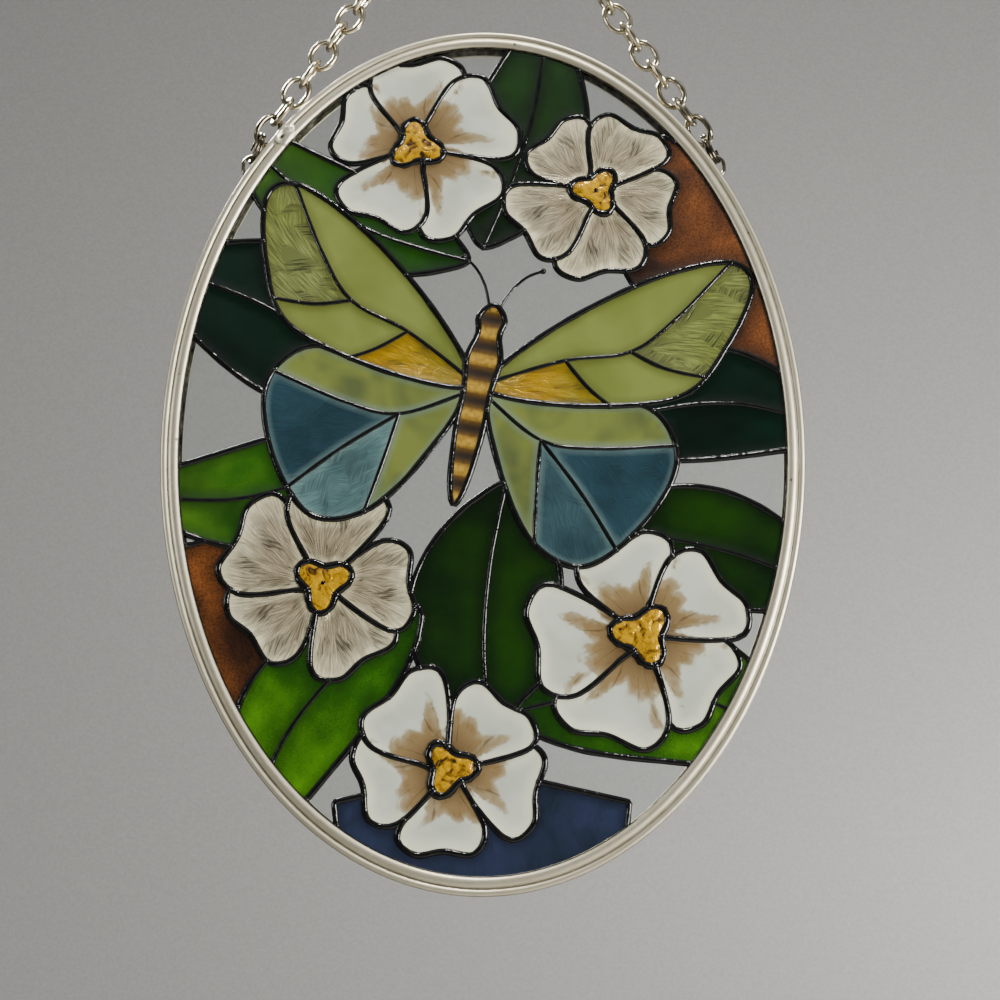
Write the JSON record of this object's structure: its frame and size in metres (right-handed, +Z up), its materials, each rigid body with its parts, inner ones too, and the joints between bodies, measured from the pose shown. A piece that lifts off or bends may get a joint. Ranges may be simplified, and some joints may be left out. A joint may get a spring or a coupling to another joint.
{
  "type": "stained glass suncatcher",
  "caption": "Oval painted-glass panel with raised black outlines in a metal channel rim, hung by wire eyelets and a fine cable chain.",
  "frame": {"origin": "the point inside the top chain link where the hook carries it", "axes": "+Z up along the hanging line, -Y out of the painted front, +X to the right as seen from the front"},
  "size_m": [0.0826, 0.0042, 0.146],
  "materials": {
    "rim_metal": "warm pewter-coloured plating, satin, lightly pitted and worn",
    "chain_metal": "nickel-coloured wire, bright on its crowns and dark where links meet",
    "clear_glass": "clear, smooth, with a faint green edge",
    "black_relief": "raised black outline paste, high gloss",
    "olive_paint": "pale olive and brushed gold enamel, milky, glossy",
    "blue_paint": "steel-blue enamel, glossy",
    "deep_blue_paint": "deep blue enamel, glossy",
    "white_paint": "opal white enamel with a brown blush",
    "pearl_paint": "pearl enamel with brushed strokes",
    "terracotta_paint": "speckled terracotta enamel",
    "bottle_green_paint": "bottle-green enamel, glossy",
    "dark_green_paint": "dark leaf-green enamel, glossy",
    "mid_green_paint": "leaf-green enamel, glossy",
    "bright_green_paint": "bright green enamel with a fine grain"
  },
  "bodies": {
    "root": {"rim": "rim_metal", "glass_pane": "clear_glass", "relief_outline": "black_relief", "paint_forewings": "olive_paint", "paint_hindwing_right": "blue_paint", "paint_hindwing_left": "blue_paint", "paint_blossom_foot": "white_paint", "paint_blossom_lower_left": "pearl_paint", "paint_blossom_lower_right": "white_paint", "paint_blossom_upper_right": "pearl_paint", "paint_blossom_upper_left": "white_paint", "paint_leaf_lower_right": "dark_green_paint", "paint_leaf_foot_right": "bright_green_paint", "paint_leaf_foot_left": "bright_green_paint", "paint_leaf_middle": "dark_green_paint", "paint_leaf_lower_left": "mid_green_paint", "paint_leaf_left": "bottle_green_paint", "paint_leaf_right": "bottle_green_paint", "paint_leaf_top": "dark_green_paint", "paint_leaf_upper_left": "mid_green_paint", "paint_ground_foot": "deep_blue_paint", "paint_ground_lower_left": "terracotta_paint", "paint_ground_upper_right": "terracotta_paint", "eyelet_left": "chain_metal", "eyelet_right": "chain_metal", "chain_top_link": "chain_metal", "chain_left_01": "chain_metal", "chain_left_02": "chain_metal", "chain_left_03": "chain_metal", "chain_left_04": "chain_metal", "chain_left_05": "chain_metal", "chain_left_06": "chain_metal", "chain_left_07": "chain_metal", "chain_left_08": "chain_metal", "chain_left_09": "chain_metal", "chain_left_10": "chain_metal", "chain_left_11": "chain_metal", "chain_left_12": "chain_metal", "chain_left_13": "chain_metal", "chain_left_14": "chain_metal", "chain_left_15": "chain_metal", "chain_left_16": "chain_metal", "chain_left_17": "chain_metal", "chain_right_01": "chain_metal", "chain_right_02": "chain_metal", "chain_right_03": "chain_metal", "chain_right_04": "chain_metal", "chain_right_05": "chain_metal", "chain_right_06": "chain_metal", "chain_right_07": "chain_metal", "chain_right_08": "chain_metal", "chain_right_09": "chain_metal", "chain_right_10": "chain_metal", "chain_right_11": "chain_metal", "chain_right_12": "chain_metal", "chain_right_13": "chain_metal", "chain_right_14": "chain_metal", "chain_right_15": "chain_metal", "chain_right_16": "chain_metal", "chain_right_17": "chain_metal"}
  },
  "joints": []
}
